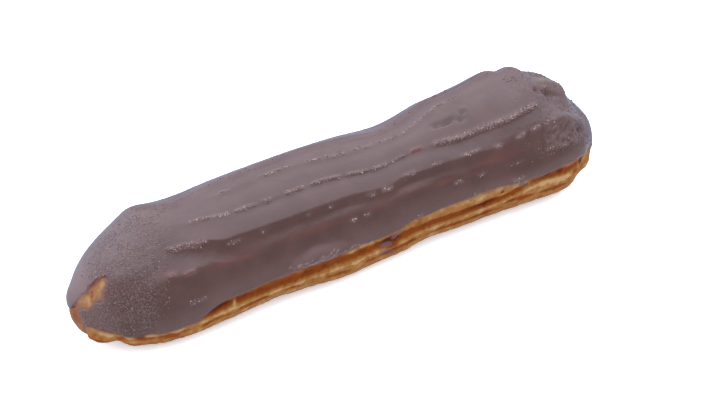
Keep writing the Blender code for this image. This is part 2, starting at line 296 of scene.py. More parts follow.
def section(x):
    """Half width, widest level, rise above it and drop below it of the section at x."""
    left, right = end_shares(x)
    level = mix(mix(WAIST_Z, LEFT_END[1], left ** 2), RIGHT_END[1], right ** 2)
    half_width = HALF_WIDTH
    height = HEIGHT
    for place, spread, wider, higher in (LEFT_SWELL, RIGHT_SWELL):
        half_width = half_width + wider * bell(x, place, spread)
        height = height + higher * bell(x, place, spread)
    plan = rounded(left, right, LEFT_END[2], RIGHT_END[2])
    rise = (height - level) * rounded(left, right, LEFT_END[3], RIGHT_END[3])
    drop = (level + BASE_SINK) * rounded(left, right, *UNDERSIDE_POWERS)
    return half_width * plan, level, rise, drop


def surface(x, angle, depth):
    """Points at an angle round the section, at a depth under the smooth outer form."""
    half_width, level, rise, drop = section(x)
    across = np.cos(np.radians(angle))
    up = np.sin(np.radians(angle))
    power = np.where(up > 0.0, POWER_ABOVE, POWER_BELOW)
    inward = depth * rounded(*end_shares(x), LEFT_END[2], RIGHT_END[2])
    y = -np.maximum(half_width - inward, 0.0) * np.sign(across) * np.abs(across) ** (2.0 / power)
    y = y + MIDDLE_BEND * (1.0 - (2.0 * x / LENGTH) ** 2) + RIGHT_TURN[0] * ramp(x, *RIGHT_TURN[1:])
    reach = np.maximum(np.where(up > 0.0, rise, drop) - inward, 0.0)
    z = level + reach * np.sign(up) * np.abs(up) ** (2.0 / power)
    return np.stack([x * (1.0 - 2.0 * depth / LENGTH), y, np.maximum(z, 0.0)], axis=-1)


def angle_at(x, z):
    """Angle on the near side at which the outer form at x reaches the height z."""
    _, level, rise, drop = section(x)
    above = np.clip((z - level) / np.maximum(rise, 0.001), 0.0, 1.0) ** (POWER_ABOVE / 2.0)
    below = np.clip((level - z) / np.maximum(drop, 0.001), 0.0, 1.0) ** (POWER_BELOW / 2.0)
    return np.degrees(np.arcsin(above) - np.arcsin(below))


def swellings(x, angle, table):
    """Sum of soft bumps, each with a place, an angle, a height and two spreads."""
    return sum(height * bell(x, place, wide) * bell(angle, centre, spread)
               for place, centre, height, wide, spread in table)


def lumps(x, angle):
    """Height of the lumps, which no longer depends on the angle where the tips close."""
    return swellings(x, mix(angle, TIP_ANGLE, ramp(np.abs(x), *TIP_CLOSES)), LUMPS)


def path_distance(across, up, path):
    """Distance from places in a plane to a path of straight pieces."""
    nearest = np.full(len(across), np.inf)
    for (across0, up0), (across1, up1) in zip(path, path[1:]):
        step = across1 - across0, up1 - up0
        share = ((across - across0) * step[0] + (up - up0) * step[1]) / (step[0] ** 2 + step[1] ** 2)
        share = np.clip(share, 0.0, 1.0)
        across_gap = across - across0 - step[0] * share
        up_gap = up - up0 - step[1] * share
        nearest = np.minimum(nearest, np.hypot(across_gap, up_gap))
    return nearest


def inlet_reach(points):
    """Distance inside the inlet's wavy outline, negative outside it."""
    y = points[:, 1] + 0.5 * grain(points, 1.4, 21) + 0.2 * grain(points, 0.5, 26)
    z = points[:, 2] + 0.5 * grain(points, 1.4, 22) + 0.2 * grain(points, 0.5, 27)
    nearest = path_distance(y, z, INLET + INLET[:1])
    inside = np.zeros(len(points), bool)
    for (y0, z0), (y1, z1) in zip(INLET, INLET[1:] + INLET[:1]):
        if z0 != z1:
            inside ^= ((z0 > z) != (z1 > z)) & (y < mix(y0, y1, (z - z0) / (z1 - z0)))
    return np.where(inside & (points[:, 0] < INLET_END), nearest, -nearest)


def rows_evenly(count, start, end):
    """Places along X that lie evenly over the surface, and so closer together at the ends."""
    fine = start + (end - start) * (1.0 - np.cos(np.linspace(0.0, math.pi, TRACE_STEPS))) / 2.0
    half_width, _, rise, _ = section(fine)
    step = np.sqrt(np.diff(fine) ** 2 + np.diff(half_width) ** 2 / 2.0 + np.diff(rise) ** 2 / 2.0)
    travelled = np.concatenate([[0.0], np.cumsum(step)])
    return np.interp(np.linspace(0.0, travelled[-1], count + 1), travelled, fine)


def wrapped_sheet(name, rows, columns, shape):
    """Wrap a grid into a closed skin. shape gives the points, and any marks, of rows and columns."""
    skin = bmesh.new()
    bmesh.ops.create_grid(skin, x_segments=rows, y_segments=columns, size=0.5)
    mesh = bpy.data.meshes.new(name)
    skin.to_mesh(mesh)
    skin.free()
    flat = np.empty(len(mesh.vertices) * 3)
    mesh.vertices.foreach_get("co", flat)
    row = np.rint((flat[0::3] + 0.5) * rows).astype(int)
    column = np.rint((flat[1::3] + 0.5) * columns).astype(int) % columns
    points, marks = shape(row, column)
    mesh.vertices.foreach_set("co", (points * MM).ravel())
    for mark, values in marks.items():
        mesh.attributes.new(mark, "FLOAT", "POINT").data.foreach_set("value", values)
    skin = bmesh.new()
    skin.from_mesh(mesh)
    bpy.data.meshes.remove(mesh)
    bmesh.ops.remove_doubles(skin, verts=skin.verts, dist=0.001 * MM)
    bmesh.ops.recalc_face_normals(skin, faces=skin.faces)
    return mesh_object(name, skin)


# Columns of one side, as shares of the way down from the lip. They begin above it.
BUN_BAND = np.concatenate([np.linspace(-0.25, 0.0, 8)[:-1], np.linspace(0.0, 0.95, 58), [1.0]])
bun_x = rows_evenly(BUN_ROWS, -LENGTH / 2, LENGTH / 2)
# Browner and paler places: place, height, half length, half height and browning.
SCORCHES = (
    (-62.0, 7.2, 1.2, 0.7, 0.9), (-58.5, 6.6, 3.0, 0.8, 0.4), (-69.4, 5.2, 1.3, 1.2, 0.6),
    (-68.9, 3.8, 1.1, 0.8, 0.3), (-70.6, 9.2, 0.9, 0.8, -0.35), (-69.2, 8.5, 0.9, 0.8, -0.45),
    (-67.8, 7.7, 0.9, 0.7, -0.45), (-63.2, 5.0, 1.4, 0.7, -0.5), (-66.0, 6.4, 0.8, 1.0, 0.25),
    (-54.5, 5.4, 1.2, 0.5, 0.5), (-43.5, 9.2, 3.8, 1.1, 0.5), (-38.4, 9.2, 0.4, 1.1, -0.8),
    (-46.0, 5.6, 1.3, 0.6, 0.4), (-34.5, 6.2, 3.0, 0.5, 0.35), (-39.5, 5.8, 1.2, 0.5, 0.35),
    (-5.3, 9.9, 2.2, 0.9, -0.8), (-1.9, 10.2, 1.5, 0.9, -0.45), (0.8, 9.9, 1.4, 1.0, -0.5),
    (5.4, 8.0, 1.8, 2.4, 0.6), (11.0, 6.2, 1.6, 0.5, 0.4), (27.0, 5.9, 8.0, 0.55, 0.45),
    (37.6, 11.6, 0.5, 0.5, 0.9), (51.8, 11.8, 0.9, 0.7, 0.8), (47.2, 12.3, 0.8, 0.5, 0.45),
    (64.7, 9.8, 1.0, 1.2, 1.3), (56.2, 11.4, 1.0, 0.9, 0.5), (60.5, 8.4, 1.5, 0.5, 0.5),
    (50.5, 9.6, 3.2, 0.6, -0.35), (56.5, 8.6, 3.0, 0.7, -0.6), (45.5, 11.4, 2.4, 0.9, -0.7),
    (51.5, 6.6, 3.4, 0.6, 0.45), (40.5, 7.5, 2.6, 0.6, 0.7), (32.8, 9.0, 2.5, 0.7, 0.3),
    (38.0, 10.4, 2.5, 0.6, -0.35), (26.8, 9.9, 2.5, 0.6, -0.35),
)
# Stretches of pale crust under the icing's lip, partly a painted highlight: first and last place,
# and strength. Then the band's share of the way down with its spread, and the fades of a stretch.
PALE_RIMS_AND_HIGHLIGHTS = ((-65.2, -62.6, 0.5), (-61.0, -51.5, 0.6), (-3.0, 6.0, 0.1), (14.0, 48.0, 0.1))
PALE_RIM_BAND = (0.07, 0.08)
STRETCH_FADES = (0.8, 0.8)
# Chocolate smeared onto the bare side: place, height, half length and half height.
SMEARS = (
    (7.6, 10.6, 1.0, 1.3), (6.6, 9.2, 1.2, 0.8), (4.2, 8.0, 2.2, 0.5), (3.0, 6.7, 1.8, 0.6),
    (5.4, 5.2, 2.2, 0.4), (43.2, 12.2, 1.4, 0.8), (44.8, 11.3, 1.8, 0.9),
)
# Chocolate just under the lip, which also paints the lip's shade: how much, and how far down.
RIM_FILM_AND_SHADE = 0.85
RIM_FILM_REACH = 0.16
INLET_DEPTH = 0.1
SPOT_DEPTH = 0.25
INLET_BROWNING = 0.36
INLET_CHOCOLATE = 0.36
# Places in the inlet, seen from the left tip: y, z, spread, and browning or chocolate.
INLET_SPOTS = (
    (-4.5, 15.3, 1.3, -0.35), (-5.9, 18.2, 0.7, -0.2), (-5.4, 19.8, 0.7, -0.35),
    (-4.2, 17.2, 0.35, 0.6), (-3.3, 18.6, 0.5, 0.6), (-3.7, 19.8, 0.5, 0.6), (-3.2, 16.9, 0.5, 0.4),
    (-1.6, 13.0, 0.7, 0.5), (-2.6, 10.0, 1.8, 0.45), (-4.7, 16.5, 0.35, 0.6), (-5.1, 15.8, 0.35, 0.5),
)
INLET_FILM = ((-6.9, 16.6, 0.9, 0.6), (-3.0, 12.9, 0.8, 0.6))


def bare_side(x, far_side, points, share):
    """Depth of the bare side, its browning with painted shade and highlights, and its chocolate film."""
    wander = 0.36 * grain(along_only(x, 1.0), 7.0, 1) + 0.2 * grain(along_only(x, 2.0), 2.2, 2)
    level = points[:, 2] + wander + 0.8 * far_side * grain(along_only(x, 3.0), 16.0, 8)
    piped = ramp(x, *PIPED_LEFT) * (1.0 - 0.5 * ramp(x, *PIPED_RIGHT))
    broken = np.clip(0.7 + 1.3 * grain(along_only(x, 4.0), 4.5, 9), 0.0, 1.0)
    near_side = 1.0 - far_side
    above = level - along(x, GROOVE_LINE)
    upper_spread = mix(*GROOVE_ABOVE, ramp(x, *GROOVE_NARROWS))
    groove = bell(above, 0.0, np.where(above > 0.0, upper_spread, GROOVE_UNDER)) * piped
    crest = bell(level, along(x, CREST_LINE), CREST_SPREAD) * piped
    streak = bell(level, along(x, STREAK_LINE), STREAK_SPREAD) * piped * broken
    blotch = 0.2 * grain(points, 3.2, 3) + 0.15 * grain(points, 1.2, 4)
    # The groove's browning also paints its shade, and the crest's paling is a painted highlight.
    baked = PLAIN_BROWNING + GROOVE_BROWNING_AND_SHADE * groove - CREST_HIGHLIGHT * crest + STREAK_BROWNING * streak
    baked = baked + 1.3 * blotch + 0.14 * grain(points, 0.6, 25)
    baked += FOOT_BROWNING * ramp(share, 0.8, 1.0) + END_BROWNING * (1.0 - piped)
    # Pale stretches under the lip, partly a painted highlight.
    for first, last, strength in PALE_RIMS_AND_HIGHLIGHTS:
        within = between(x, first, last, *STRETCH_FADES)
        baked -= strength * within * bell(share, *PALE_RIM_BAND) * near_side
    film = np.zeros_like(x)
    for place, height, long, tall, browning in SCORCHES:
        baked += browning * bell(x, place, long) * bell(points[:, 2], height, tall) * near_side
    for place, height, long, tall in SMEARS:
        film = np.maximum(film, bell(x, place, long) * bell(points[:, 2], height, tall) * near_side)
    film = ramp(film + 0.25 * grain(points, 1.0, 10), 0.35, 0.6)
    patchy = np.clip(0.7 + 0.9 * grain(along_only(x, 7.0), 5.0, 24), 0.0, 1.0)
    # The film just under the lip also paints the lip's shade.
    film = np.maximum(film, RIM_FILM_AND_SHADE * patchy * (1.0 - ramp(share, 0.0, RIM_FILM_REACH)))
    bare = BUN_BARE + GROOVE_DEPTH * groove - CREST_HEIGHT * crest + STREAK_DEPTH * streak + 0.8 * blotch
    bare += 0.05 * grain(points, 0.6, 5) - 0.22 * film
    bare -= near_side * sum(high * bell(x, place, wide) * bell(share, low, reach)
                            for place, wide, low, reach, high in LOBES)
    return bare, baked, film


def inlet_spots(points, table):
    """Sum of round spots seen from the left tip, each with y, z, a spread and a strength."""
    return sum(strength * bell(points[:, 1], y, spread) * bell(points[:, 2], z, spread)
               for y, z, spread, strength in table)


def bun_skin(x, angle):
    """Depth of the bun's skin under the outer form, with its browning and film, which hold painted light.
    """
    points = surface(x, angle, 0.0)
    far_side = (1.0 - np.cos(np.radians(angle))) / 2.0
    edge = mix(along(x, NEAR_EDGE), along(x, FAR_EDGE), ramp(far_side, 0.3, 0.7))
    share = 1.0 - points[:, 2] / edge
    bare, baked, film = bare_side(x, far_side, points, share)
    covered = mix(BUN_AT_EDGE, BUN_UNDER_ICING, ramp(-share, 0.0, 0.2))
    depth = mix(covered, bare, ramp(share, -0.03, 0.05)) - LUMPS_INSIDE * lumps(x, angle)
    reach = inlet_reach(points)
    opened = ramp(reach, -1.0, -0.3)
    spots = inlet_spots(points, INLET_SPOTS)
    crags = 0.14 * grain(points, 1.8, 6) + 0.07 * grain(points, 0.7, 7)
    in_inlet = INLET_DEPTH + crags + SPOT_DEPTH * np.clip(spots, 0.0, 1.0) - lumps(x, angle)
    brown_inlet = INLET_BROWNING + spots + 1.2 * crags + 0.2 * (1.0 - ramp(reach, 0.0, 0.6))
    film_inlet = INLET_CHOCOLATE + 0.4 * grain(points, 1.3, 23) + 0.5 * (1.0 - ramp(reach, 0.0, 0.7))
    film_inlet = np.clip(film_inlet + inlet_spots(points, INLET_FILM), 0.0, 1.0)
    return mix(depth, in_inlet, opened), mix(baked, brown_inlet, opened), mix(film, film_inlet, opened)


def bun_shape(row, column):
    """Near side from the floor up, the wall under the icing, then the far side down."""
    x = bun_x[row]
    band = len(BUN_BAND)
    near = angle_at(x, along(x, NEAR_EDGE) * (1.0 - BUN_BAND[np.clip(band - 1 - column, 0, band - 1)]))
    far_index = np.clip(column - band - BUN_TOP_COLUMNS + 1, 0, band - 1)
    far = 180.0 - angle_at(x, along(x, FAR_EDGE) * (1.0 - BUN_BAND[far_index]))
    near_top = angle_at(x, along(x, NEAR_EDGE) * (1.0 - BUN_BAND[0]))
    far_top = 180.0 - angle_at(x, along(x, FAR_EDGE) * (1.0 - BUN_BAND[0]))
    top = mix(near_top, far_top, (column - band + 1) / BUN_TOP_COLUMNS)
    angle = np.where(column < band, near, np.where(column >= band + BUN_TOP_COLUMNS - 1, far, top))
    angle = np.where((row == 0) | (row == BUN_ROWS), 0.0, angle)
    depth, baked, film = bun_skin(x, angle)
    return surface(x, angle, depth), {"baked": baked, "film": film}


class Field:
    """A number that varies over a surface. Arithmetic on it adds Math nodes."""

    def __init__(self, finish, socket):
        self.finish = finish
        self.socket = socket

    def math(self, operation, first, second):
        return self.finish.node("ShaderNodeMath", {"operation": operation}, {0: first, 1: second})

    def __add__(self, other):
        return self.math("ADD", self, other)

    def __sub__(self, other):
        return self.math("SUBTRACT", self, other)

    def __rsub__(self, other):
        return self.math("SUBTRACT", other, self)

    def __mul__(self, other):
        return self.math("MULTIPLY", self, other)

    __radd__ = __add__
    __rmul__ = __mul__


class Finish:
    """A material on one Principled shader, whose fields come from its own nodes."""

    def __init__(self, name):
        self.material = bpy.data.materials.new(name)
        self.material.use_nodes = True
        self.tree = self.material.node_tree
        self.shader = self.tree.nodes["Principled BSDF"]

    def node(self, kind, settings, values, output=0):
        made = self.tree.nodes.new(kind)
        for key, value in settings.items():
            setattr(made, key, value)
        for key, value in values.items():
            self.feed(made.inputs[key], value)
        return Field(self, made.outputs[output])

    def feed(self, socket, value):
        if isinstance(value, Field):
            self.tree.links.new(value.socket, socket)
        else:
            socket.default_value = value

    def mark(self, name):
        """A value that was stored on the mesh."""
        return self.node("ShaderNodeAttribute", {"attribute_name": name}, {}, "Fac")

    def grain(self, size, detail=2.0, seed=0.0):
        """Noise from 0 to 1 with lumps of a size in millimetres."""
        place = self.node("ShaderNodeTexCoord", {}, {}, "Object")
        moved = self.node("ShaderNodeMapping", {}, {"Vector": place, "Location": (seed, seed, seed)})
        values = {"Vector": moved, "Scale": 1.0 / (size * MM), "Detail": detail}
        return self.node("ShaderNodeTexNoise", {}, values)

    def step(self, value, start, end):
        """Rise smoothly from 0 where value is start to 1 where it is end."""
        settings = {"interpolation_type": "SMOOTHSTEP"}
        values = {"Value": value, "From Min": start, "From Max": end}
        return self.node("ShaderNodeMapRange", settings, values)

    def blend(self, share, low, high):
        """Colour that goes from low, which may be a field, to high as share goes from 0 to 1."""
        ends = {0: share, 6: low if isinstance(low, Field) else (*low, 1.0), 7: (*high, 1.0)}
        return self.node("ShaderNodeMix", {"data_type": "RGBA"}, ends, 2)

    def turn(self, value, color, turns):
        """Colour that turns into the next one over each stretch of a value."""
        for start, end, turned in turns:
            color = self.blend(self.step(value, start, end), color, turned)
        return color

    def bump(self, height, rise):
        """Normal from a height field from 0 to 1 that rises by a depth in millimetres."""
        return self.node("ShaderNodeBump", {}, {"Height": height, "Distance": rise * MM, "Strength": 1.0})

    def paint(self, **values):
        for name, value in values.items():
            self.feed(self.shader.inputs[name.replace("_", " ").title().replace("Ior", "IOR")], value)


CRUST_PALE = (0.34, 0.19, 0.08)
CRUST_TAN = (0.23, 0.094, 0.022)
CRUST_BROWN = (0.17, 0.036, 0.003)
CRUST_DARK = (0.075, 0.011, 0.002)
CHOCOLATE_FILM = (0.125, 0.066, 0.062)
FILM_STRENGTH = 0.85
# Browning over which each colour turns into the next.
CRUST_TURNS = ((0.0, 0.34, CRUST_TAN), (0.36, 0.7, CRUST_BROWN), (0.8, 1.25, CRUST_DARK))
CRUST_ROUGHNESS = 0.6
CRUST_SPECULAR = 0.07
# Size and height of the fine pores.
CRUST_PORES = (0.45, 0.1)


def crust_finish():
    """Tan choux with smears; crests paler as painted highlight; grooves orange-brown to dark, partly
    painted shade.
    """
    crust = Finish("baked_choux")
    baked = crust.mark("baked") + (crust.grain(0.9, 4.0, 0.3) - 0.5) * 0.3
    color = crust.turn(baked, CRUST_PALE, CRUST_TURNS)
    # The film is smeared chocolate, and just under the lip also painted shade.
    color = crust.blend(crust.mark("film") * FILM_STRENGTH, color, CHOCOLATE_FILM)
    size, height = CRUST_PORES
    crust.paint(base_color=color, roughness=CRUST_ROUGHNESS, specular_ior_level=CRUST_SPECULAR,
                normal=crust.bump(crust.grain(size, 3.0, 0.2), height))
    return crust.material


bun = wrapped_sheet("bun", BUN_ROWS, 2 * len(BUN_BAND) + BUN_TOP_COLUMNS - 1, bun_shape)
bun.data.materials.append(crust_finish())
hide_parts("pastry")
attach(bun, "root")

# The icing: chocolate that was poured warm over the bun and set dull. It follows the piped
# ridges, is thickest over the top and ends in a wavy lip. The sheet's outer face and its
# inner wall are one closed skin, whose rim is sunk into the bun.
ICING_ROWS = 500
ICING_RIM_COLUMNS = 12
ICING_TOP_COLUMNS = 158
ICING_WALL_COLUMNS = 14
ICING_THICKNESS = 1.5
ICING_OVERLAP = 0.5
LIP_WIDTH = 0.9
LIP_SINK = 0.95
TIP_MEETS = 0.01
TOP_ANGLE = 90.0
# Where the ridges rise and where they sink, and the degrees to a ridge under the lowest line.
RIDGES_START = (-52.5, -44.0)
RIDGES_STOP = (51.0, 60.0)
RIDGE_PITCH = 20.0
# Angle of each ridge line round the section, from the lowest on the near side over the top.
RIDGE_LINES = (
    ((-55.0, 16.0), (45.0, 14.0), (58.0, 16.0)),
    ((-54.0, 44.0), (-47.0, 40.0), (-42.0, 38.0), (-35.0, 31.0), (0.0, 30.0), (6.0, 29.0), (14.0, 33.0),
     (30.0, 28.0), (42.0, 26.0), (58.0, 28.0)),
    ((-52.0, 64.0), (-48.0, 61.0), (-43.0, 58.0), (-36.0, 52.0), (-6.0, 51.5), (7.0, 47.0), (11.0, 49.5),
     (22.0, 47.5), (30.0, 44.5), (40.0, 41.0), (50.0, 45.0), (58.0, 50.0)),
    ((-50.0, 80.0), (-42.0, 76.0), (-33.0, 72.0), (-10.0, 72.0), (7.0, 66.0), (18.0, 68.0), (32.0, 62.0),
     (43.0, 60.0), (55.0, 64.0)),
    ((-50.0, 96.0), (-34.0, 93.0), (-18.0, 95.0), (5.0, 89.0), (16.0, 89.0), (30.0, 99.0), (60.0, 100.0)),
    ((-50.0, 108.0), (-27.0, 112.0), (-10.0, 114.0), (10.0, 106.0), (30.0, 118.0), (60.0, 120.0)),
    ((-50.0, 133.0), (50.0, 136.0)),
    ((-50.0, 153.0), (50.0, 155.0)),
    ((-50.0, 171.0), (50.0, 171.0)),
)
RIDGE_SPANS = len(RIDGE_LINES) - 1
# Where the columns of the mesh begin to follow the ridges, and where they stop.
COLUMNS_LEFT = (-66.0, -52.0)
COLUMNS_RIGHT = (56.0, 67.0)
# Height of each ridge, then the depth of the flute above it and its lean to its upper side.
CREST_HEIGHTS = (0.1, 0.1, 0.9, 0.25, 0.12, 0.08, 0.2, 0.3, 0.2)
FLUTE_DEPTHS = (0.22, 0.58, 0.3, 0.2, 0.14, 0.2, 0.5, 0.55)
FLUTE_LEANS = (1.3, 1.5, 3.0, 2.4, 2.0, 1.0, 1.0, 1.0)
FLUTE_UNEVEN = 0.4
# The ridges are sharp creases at the left and grow rounder here.
CREASED = (-38.0, -24.0)
# The flute under the bead grows even, then shallower, and the bead's ridge gets a broad foot.
EVEN_FLUTE = 2
EVEN_LEAN = 1.2
EVENED = (12.0, 28.0)
SHALLOWER = (32.0, 42.0)
SHALLOWER_BY = 0.6
BEAD_FOOT = 0.4
# Runs of crumbs: ridge, first and last place, share of the usual number, and how many degrees
# under the ridge line they lie.
CRUMB_RUNS = (
    (3, -43.2, -33.4, 1.6, 0.7), (3, -31.8, -26.4, 1.5, 0.7), (3, -24.2, -22.2, 1.2, 0.7),
    (3, -18.2, -13.4, 1.5, 0.7), (3, -11.4, -3.6, 1.3, 0.7), (3, -1.8, 3.6, 1.0, 0.7),
    (3, 4.6, 8.8, 1.4, 1.2), (3, 9.6, 14.0, 0.5, 0.7), (3, 16.0, 18.8, 1.8, 0.2),
    (4, -33.0, -30.0, 0.9, 0.6), (4, -21.0, -13.0, 0.8, 0.6), (4, -9.2, -5.4, 1.2, 0.6),
    (4, -4.2, 0.8, 1.0, 0.6), (4, 3.2, 8.4, 0.8, 0.6), (4, 10.4, 16.0, 0.6, 0.6),
    (4, 17.5, 36.0, 0.5, 0.6), (5, -38.0, -8.0, 0.25, 0.6), (5, 4.0, 40.0, 0.2, 0.6),
    (3, -69.2, -66.6, 2.2, 4.0), (3, -66.6, -65.0, 1.8, 8.5), (2, -51.0, -41.0, 1.8, 1.5),
    (2, -49.5, -43.0, 1.3, 3.4), (1, -53.0, -50.6, 1.5, 1.0), (1, 50.5, 57.5, 0.6, 0.0),
    (2, -36.8, -33.4, 0.7, 4.2), (2, -27.8, -27.0, 0.9, 4.2), (2, -15.6, -14.8, 1.0, 4.0),
    (2, -9.6, -8.8, 1.0, 4.0), (2, 0.6, 3.0, 0.9, 3.0), (2, 4.6, 7.8, 1.4, 2.6),
    (2, 10.8, 14.4, 0.9, -0.5), (2, 19.0, 22.0, 0.4, -1.5), (2, 27.0, 32.4, 1.4, -2.0),
    (2, 36.0, 38.0, 1.1, -1.0), (2, 42.4, 45.0, 1.5, -1.0), (2, 46.8, 49.4, 1.2, 0.0),
    (2, 50.4, 54.0, 1.0, -1.0), (1, -48.8, -45.8, 1.2, 1.5), (1, -5.2, -3.4, 1.4, -1.0),
    (1, -1.4, 0.4, 0.8, -1.0), (1, 24.0, 26.4, 1.2, 0.5), (1, 30.6, 33.0, 0.7, 0.5),
    (1, 40.0, 44.0, 0.3, 0.5), (0, -49.5, -45.0, 0.8, 0.5), (0, 13.0, 14.5, 0.8, 0.5),
    (0, 27.5, 30.0, 0.7, 0.5), (0, 40.0, 43.5, 1.2, 0.5),
)
CRUMBLY_LIMIT = 1.2
CRUMBLY_SPREAD = 1.5
CRUMBLY_HEIGHT = 0.22
# The raised bead: its ridge, ridge number and spread of its line, height, range and fades.
BEAD_RIDGE = 3
BEAD_LINE = (2.93, 0.1)
BEAD_HEIGHT = 0.55
BEAD_RANGE = (22.0, 50.8)
BEAD_FADES = (0.7, 1.5)
# Left edge of the ridges and right edge of the stipple, by angle.
STIPPLE_EDGE = ((4.0, -58.5), (22.0, -55.5), (38.0, -53.0), (62.0, -51.0), (83.0, -48.0), (110.0, -44.0))
STIPPLE_FADE = (-2.0, 3.0)
STIPPLE_TOP = (104.0, 122.0)
# The crusty right end: where it begins along and round, and where most of it is lost.
CRUSTY_LEFT = (44.0, 54.0)
CRUSTY_FOOT = (22.0, 34.0)
CRUSTY_TOP = (110.0, 125.0)
CRUSTY_LOSS = 0.7
# The flaky patch low on the right end: its left, right, lower and upper limits.
FLAKY_LIMITS = ((50.6, 51.0), (60.0, 63.0), (24.8, 26.4), (42.0, 50.0))
FLAKY_HEIGHT = 0.3
FLAKE_RELIEF = 0.3
# Small dents and nubs: place, angle, height, spread along and spread round.
DENTS = (
    (25.6, 81.5, -0.75, 1.2, 1.8), (28.8, 79.4, -1.1, 2.6, 1.8), (31.4, 79.6, 0.4, 1.0, 1.6),
    (32.0, 75.6, -0.8, 1.2, 2.0), (33.2, 81.0, -0.7, 0.8, 2.0), (34.2, 84.0, 0.4, 0.6, 2.0),
    (57.4, 75.0, -1.2, 1.5, 3.2), (59.6, 74.0, -0.6, 1.6, 3.0), (58.0, 88.0, 0.7, 2.2, 4.5),
    (54.2, 76.0, -1.15, 0.9, 2.8), (63.2, 38.0, -0.8, 1.2, 3.2), (50.2, 33.0, -0.35, 0.5, 5.0),
)
# Reddish thin places: place, angle, strength, spread along and spread round.
BLUSHES = (
    (-67.8, 76.0, 1.5, 1.2, 3.0), (-66.0, 71.0, 1.0, 1.0, 3.0), (-52.0, 43.0, 1.2, 1.8, 2.5),
    (-47.2, 38.5, 0.8, 1.8, 2.0), (-39.0, 35.5, 0.8, 3.0, 1.8), (-33.0, 34.0, 0.6, 2.0, 1.5),
    (-15.0, 35.0, 0.5, 6.0, 3.0), (2.0, 34.0, 0.5, 2.5, 2.0), (12.5, 38.0, 0.6, 3.0, 2.5),
    (21.5, 33.0, 0.8, 2.5, 2.0), (30.5, 30.0, 0.5, 3.0, 1.5), (17.4, 66.5, 1.5, 1.6, 2.2),
    (-44.5, 55.5, 0.7, 2.5, 1.5), (38.0, 36.0, 0.5, 5.0, 5.0), (54.2, 77.0, 0.45, 1.5, 3.0),
)
# Tan edges of the dent at the right end, in the same way.
TAN_RIM = ((57.9, 88.0, 1.0, 2.0, 2.5), (57.6, 81.5, 0.8, 1.0, 2.0))
# Thin pale cracks above the lip, as paths of places and angles.
CRACKS = (
    ((-22.8, 13.5), (-20.2, 12.5), (-17.5, 14.0), (-15.6, 12.6), (-13.6, 12.0), (-11.1, 14.0)),
    ((-21.0, 11.0), (-18.5, 9.5), (-15.0, 10.6), (-13.3, 8.0), (-11.4, 10.0), (-10.3, 12.4)),
    ((-8.4, 10.6), (-5.6, 9.6), (-2.9, 8.0), (-0.6, 6.6)),
)
CRACK_EDGES = (0.05, 0.2)
CRACK_HEIGHT = 0.1
# Millimetres round the section for each degree, near the cracks.
DEGREE = 0.29
# Upper edge of the smooth swelling above the lip, its height, rise in degrees and left end.
SWELLING_EDGE = ((-27.0, 7.0), (-20.8, 20.0), (-16.0, 23.0), (-9.0, 20.0), (-2.5, 12.0), (4.0, 7.0))
SWELLING_HEIGHT = 1.2
SWELLING_RISE = 11.0
SWELLING_LEFT = (-29.0, -24.0)
# A painted sheen makes the icing a little paler: near its edge, by a reach that narrows to the
# right, at the left tip and over the swelling.
PAINTED_SHEEN_REACH = (7.0, 3.5)
PAINTED_SHEEN_NARROWS = (20.0, 32.0)
PAINTED_SHEEN_AT_TIP = 1.5
PAINTED_SHEEN_TIP = (64.0, 69.0)
PAINTED_SHEEN_ON_SWELLING = 0.8
PAINTED_SHEEN_LEFT = (-27.0, -23.0)
PAINTED_SHEEN_RIGHT = (2.0, 5.0)

# Columns of the outer face as ridge numbers, closest together at the rims.
RIM_PART = 0.14
rim = np.linspace(0.0, RIM_PART, ICING_RIM_COLUMNS)
over_top = np.linspace(RIM_PART, RIDGE_SPANS - RIM_PART, ICING_TOP_COLUMNS)[1:-1]
icing_ridges = np.concatenate([rim, over_top, RIDGE_SPANS - rim[::-1]])


def tip_of_icing(sign):
    """X at which the two edges of the icing meet, at one end."""
    edge_z = NEAR_EDGE[0][1] if sign < 0 else NEAR_EDGE[-1][1]
    length, tip_z, _, profile_power = LEFT_END if sign < 0 else RIGHT_END
    share = (edge_z - tip_z) / (HEIGHT - tip_z)
    into = (1.0 - share ** profile_power) ** (1.0 / profile_power)
    return sign * (LENGTH / 2 - length * (1.0 - into))


icing_x = rows_evenly(ICING_ROWS, tip_of_icing(-1), tip_of_icing(1))


def icing_edges(x):
    """Angles of the near and the far edge, which meet on top at the icing's own tips."""
    ripple = 0.3 * grain(along_only(x, 5.0), 4.0, 11)
    near = angle_at(x, along(x, NEAR_EDGE) - ICING_OVERLAP + ripple)
    far = 180.0 - angle_at(x, along(x, FAR_EDGE) - ICING_OVERLAP - ripple)
    left, right = icing_x[0], icing_x[-1]
    met = np.maximum(ramp(-x, -left - TIP_MEETS, -left), ramp(x, right - TIP_MEETS, right))
    return mix(near, TOP_ANGLE, met), mix(far, TOP_ANGLE, met)


def from_edge(x, angle):
    """Distance round the section from the nearer edge of the icing."""
    near, far = icing_edges(x)
    return np.radians(np.minimum(angle - near, far - angle)) * section(x)[0]


def column_angle(x, ridge):
    """Angle of a column, given as a ridge number from the near to the far edge."""
    near, far = icing_edges(x)
    lines = [near] + [along(x, line) for line in RIDGE_LINES[1:-1]] + [far]
    piped = near
    for index, (low, high) in enumerate(zip(lines, lines[1:])):
        piped = piped + (high - low) * np.clip(ridge - index, 0.0, 1.0)
    middle = ramp(x, *COLUMNS_LEFT) * (1.0 - ramp(x, *COLUMNS_RIGHT))
    return mix(mix(near, far, ridge / RIDGE_SPANS), piped, middle)


def ridge_number(x, angle):
    """Place of an angle in the piped pattern: a whole number on each ridge line."""
    lines = [along(x, line) for line in RIDGE_LINES]
    number = np.minimum((angle - lines[0]) / RIDGE_PITCH, 0.0)
    for low, high in zip(lines, lines[1:]):
        number = number + np.clip((angle - low) / (high - low), 0.0, 1.0)
    return number


